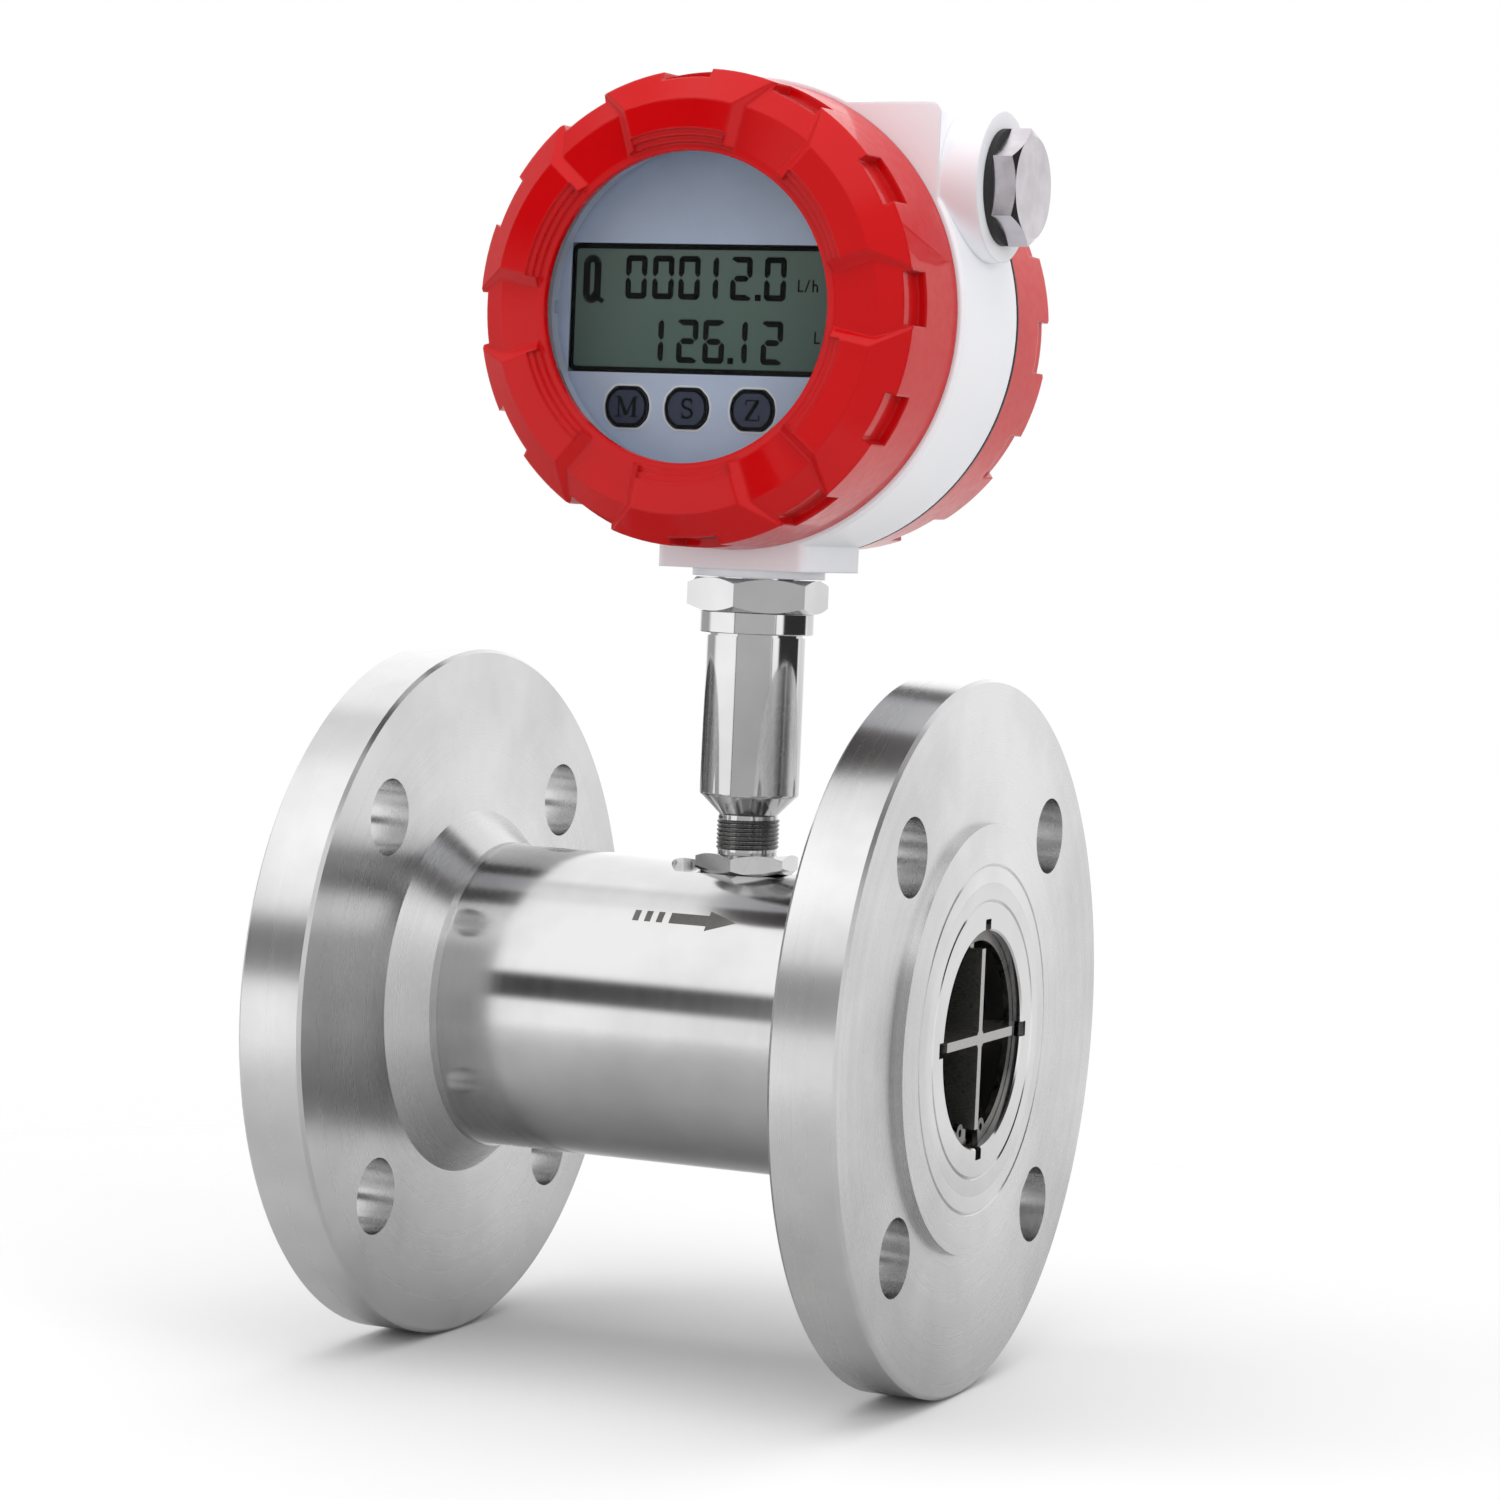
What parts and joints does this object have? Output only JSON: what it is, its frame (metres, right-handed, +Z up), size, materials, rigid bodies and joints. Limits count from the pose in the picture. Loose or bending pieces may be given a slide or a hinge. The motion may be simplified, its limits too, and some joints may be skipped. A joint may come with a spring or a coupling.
{
  "type": "turbine flow meter",
  "caption": "Flanged turbine flow meter: a pipe body with bladed rotor between straighteners, a pickup stem, and a swivelling display head with screwed covers and keys.",
  "frame": {"origin": "centre of the inlet flange's raised face, on the pipe axis", "axes": "+X along the flow from inlet to outlet, +Z up along the stem to the head, -Y out of the display"},
  "size_m": [0.1527, 0.165, 0.3003],
  "materials": {
    "steel_turned": "lathe-turned stainless steel",
    "steel_inner": "machined stainless steel",
    "spring_steel": "hardened spring steel",
    "nickel": "nickel plated",
    "carbide": "ground tungsten carbide",
    "red_paint": "gloss enamel on cast aluminium",
    "white_paint": "gloss enamel on cast aluminium",
    "black_rubber": "smooth rubber",
    "clear_glass": "clear toughened glass",
    "label_grey": "satin printed panel",
    "lcd_grey": "liquid crystal panel with dark frame",
    "key_slate": "satin moulded key",
    "board_green": "solder resist",
    "black_plastic": "moulded plastic",
    "brass_plain": "machined brass",
    "copper_coil": "lacquered winding wire",
    "magnet_grey": "plated magnet",
    "aluminium_ring": "turned aluminium"
  },
  "bodies": {
    "meter": {"body_tube": "steel_turned", "inlet_flange": "steel_turned", "outlet_flange": "steel_turned", "inlet_straightener": "steel_inner", "outlet_straightener": "steel_inner", "inlet_snap_ring": "spring_steel", "outlet_snap_ring": "spring_steel", "inlet_bush": "carbide", "outlet_bush": "carbide", "inlet_thrust_washer": "carbide", "outlet_thrust_washer": "carbide", "lock_nut": "nickel", "stem_tube": "steel_turned", "union_nut": "nickel", "stem_circlip": "spring_steel", "pickup_core": "steel_inner", "pickup_coil": "copper_coil", "pickup_magnet": "magnet_grey", "preamp_board": "board_green"},
    "turbine": {"rotor": "steel_inner", "rotor_shaft": "carbide"},
    "head": {"head_housing": "white_paint", "face_plate": "label_grey", "lcd_module": "lcd_grey", "key_switches": "black_plastic", "display_board": "board_green", "board_posts": "brass_plain", "board_screws": "nickel", "terminal_block": "black_plastic", "terminal_screws": "nickel", "backup_cell": "aluminium_ring", "cell_holder": "black_plastic", "ground_screw": "brass_plain"},
    "front_seal_ring": {"front_seal": "black_rubber"},
    "front_lid": {"front_cover": "red_paint", "window_glass": "clear_glass", "glass_gasket": "black_rubber", "glass_retainer": "aluminium_ring"},
    "rear_seal_ring": {"rear_seal": "black_rubber"},
    "rear_lid": {"rear_cover": "red_paint"},
    "plug_seal_ring": {"plug_washer": "black_rubber"},
    "entry_plug": {"conduit_plug": "nickel"},
    "menu_key": {"key_m": "key_slate"},
    "set_key": {"key_s": "key_slate"},
    "zero_key": {"key_z": "key_slate"}
  },
  "joints": [
    {"name": "rotor_spin", "type": "hinge", "parent": "meter", "child": "turbine", "pos_m": [0.089, 0, 0], "axis": [1, 0, 0], "continuous": true},
    {"name": "head_swivel", "type": "hinge", "parent": "meter", "child": "head", "pos_m": [0.089, 0, 0.1628], "axis": [0, 0, 1], "range_deg": [-170, 170]},
    {"name": "front_lid_travel", "type": "slide", "parent": "head", "child": "front_seal_ring", "axis": [0, -1, 0], "range_m": [0, 0.01407]},
    {"name": "front_lid_turn", "type": "hinge", "parent": "front_seal_ring", "child": "front_lid", "pos_m": [0.089, 0, 0.1628], "axis": [0, -1, 0], "range_deg": [0, 2520]},
    {"name": "rear_lid_travel", "type": "slide", "parent": "head", "child": "rear_seal_ring", "axis": [0, 1, 0], "range_m": [0, 0.01407]},
    {"name": "rear_lid_turn", "type": "hinge", "parent": "rear_seal_ring", "child": "rear_lid", "pos_m": [0.089, 0, 0.1628], "axis": [0, 1, 0], "range_deg": [0, 2520]},
    {"name": "entry_plug_travel", "type": "slide", "parent": "head", "child": "plug_seal_ring", "axis": [1, 0, 0], "range_m": [0, 0.01357]},
    {"name": "entry_plug_turn", "type": "hinge", "parent": "plug_seal_ring", "child": "entry_plug", "pos_m": [0.149, 0, 0.1938], "axis": [1, 0, 0], "range_deg": [0, 3240]},
    {"name": "menu_key_press", "type": "slide", "parent": "head", "child": "menu_key", "axis": [0, 1, 0], "range_m": [0, 0.0005], "stiffness_N_per_m": 600},
    {"name": "set_key_press", "type": "slide", "parent": "head", "child": "set_key", "axis": [0, 1, 0], "range_m": [0, 0.0005], "stiffness_N_per_m": 600},
    {"name": "zero_key_press", "type": "slide", "parent": "head", "child": "zero_key", "axis": [0, 1, 0], "range_m": [0, 0.0005], "stiffness_N_per_m": 600}
  ],
  "couplings": [
    {"joint": "front_lid_travel", "follows": "front_lid_turn", "m_per_rad": 0.00031831},
    {"joint": "rear_lid_travel", "follows": "rear_lid_turn", "m_per_rad": 0.00031831},
    {"joint": "entry_plug_travel", "follows": "entry_plug_turn", "m_per_rad": 0.00023873}
  ]
}
